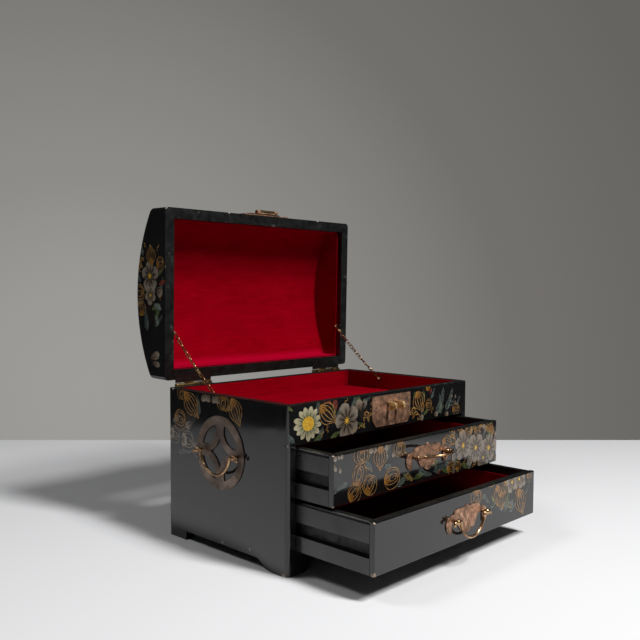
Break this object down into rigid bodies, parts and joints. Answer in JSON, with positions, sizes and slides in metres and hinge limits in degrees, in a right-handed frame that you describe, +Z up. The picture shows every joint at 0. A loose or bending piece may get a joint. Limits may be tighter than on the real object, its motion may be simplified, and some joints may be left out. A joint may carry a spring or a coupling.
{
  "type": "trinket box",
  "caption": "Dome-lidded black lacquer trinket box on short feet with a lined top tray, side-hung drawers, pierced brass plates, drop bails, a folding hasp and chain-stayed lid.",
  "frame": {"origin": "middle of the case's footprint, on the plane that its feet stand on", "axes": "+X to the right of someone who faces the drawers, -Y out of the front, +Z up"},
  "size_m": [0.3212, 0.3637, 0.3733],
  "materials": {
    "black_lacquer": "black gloss lacquer on wood, worn at the edges, with painted flowers",
    "red_cloth": "short red velvet",
    "aged_plate": "sheet brass, aged to a dull copper brown",
    "brass_fittings": "worn brass, brighter where handled"
  },
  "bodies": {
    "case": {"back_panel": "black_lacquer", "bottom_board": "black_lacquer", "case_chain_eyes": "brass_fittings", "case_hinge_screws": "brass_fittings", "case_plate_nails": "aged_plate", "drawer_runners": "black_lacquer", "fascia": "black_lacquer", "front_apron": "black_lacquer", "handle_posts": "brass_fittings", "hinge_pins": "brass_fittings", "left_case_hinge_leaf": "brass_fittings", "left_handle_plate": "aged_plate", "left_side_panel": "black_lacquer", "left_stay_chain": "brass_fittings", "lock_plate": "aged_plate", "lock_staples": "brass_fittings", "right_case_hinge_leaf": "brass_fittings", "right_handle_plate": "aged_plate", "right_side_panel": "black_lacquer", "right_stay_chain": "brass_fittings", "tray_floor": "black_lacquer", "tray_lining": "red_cloth"},
    "lid": {"hasp_nails": "aged_plate", "hasp_pin": "brass_fittings", "hasp_plate": "aged_plate", "left_lid_hinge_leaf": "brass_fittings", "lid_chain_eyes": "brass_fittings", "lid_front_wall": "black_lacquer", "lid_hinge_screws": "brass_fittings", "lid_left_end": "black_lacquer", "lid_lining": "red_cloth", "lid_rear_wall": "black_lacquer", "lid_right_end": "black_lacquer", "lid_top": "black_lacquer", "right_lid_hinge_leaf": "brass_fittings"},
    "tongue": {"hasp_tongue": "aged_plate"},
    "lower_drawer": {"lower_drawer_back": "black_lacquer", "lower_drawer_bottom": "black_lacquer", "lower_drawer_front": "black_lacquer", "lower_drawer_left_side": "black_lacquer", "lower_drawer_lining": "red_cloth", "lower_drawer_right_side": "black_lacquer", "lower_pull_nails": "aged_plate", "lower_pull_plate": "aged_plate", "lower_pull_posts": "brass_fittings"},
    "upper_drawer": {"upper_drawer_back": "black_lacquer", "upper_drawer_bottom": "black_lacquer", "upper_drawer_front": "black_lacquer", "upper_drawer_left_side": "black_lacquer", "upper_drawer_lining": "red_cloth", "upper_drawer_right_side": "black_lacquer", "upper_pull_nails": "aged_plate", "upper_pull_plate": "aged_plate", "upper_pull_posts": "brass_fittings"},
    "lower_bail": {"lower_pull_bail": "brass_fittings"},
    "upper_bail": {"upper_pull_bail": "brass_fittings"},
    "left_bail": {"left_handle_bail": "brass_fittings"},
    "right_bail": {"right_handle_bail": "brass_fittings"}
  },
  "joints": [
    {"name": "lid_hinge", "type": "hinge", "parent": "case", "child": "lid", "pos_m": [0, 0.1035, 0.16575], "axis": [1, 0, 0], "range_deg": [0, 89], "deforming": ["left_stay_chain", "right_stay_chain"]},
    {"name": "hasp_hinge", "type": "hinge", "parent": "lid", "child": "tongue", "pos_m": [0.001, 0.10197, 0.37066], "axis": [1, 0, 0], "range_deg": [0, 180]},
    {"name": "lower_drawer_slide", "type": "slide", "parent": "case", "child": "lower_drawer", "axis": [0, -1, 0], "range_m": [-0.0982, 0.035]},
    {"name": "upper_drawer_slide", "type": "slide", "parent": "case", "child": "upper_drawer", "axis": [0, -1, 0], "range_m": [-0.0487, 0.085]},
    {"name": "lower_bail_hinge", "type": "hinge", "parent": "lower_drawer", "child": "lower_bail", "pos_m": [0.004, -0.2028, 0.0499], "axis": [-1, 0, 0], "range_deg": [-12, 150]},
    {"name": "upper_bail_hinge", "type": "hinge", "parent": "upper_drawer", "child": "upper_bail", "pos_m": [0.004, -0.1533, 0.1049], "axis": [-1, 0, 0], "range_deg": [-112, 50]},
    {"name": "left_handle_hinge", "type": "hinge", "parent": "case", "child": "left_bail", "pos_m": [-0.1576, 0.0045, 0.106], "axis": [0, 1, 0], "range_deg": [-10, 150]},
    {"name": "right_handle_hinge", "type": "hinge", "parent": "case", "child": "right_bail", "pos_m": [0.1576, 0.0045, 0.106], "axis": [0, -1, 0], "range_deg": [-10, 150]}
  ]
}
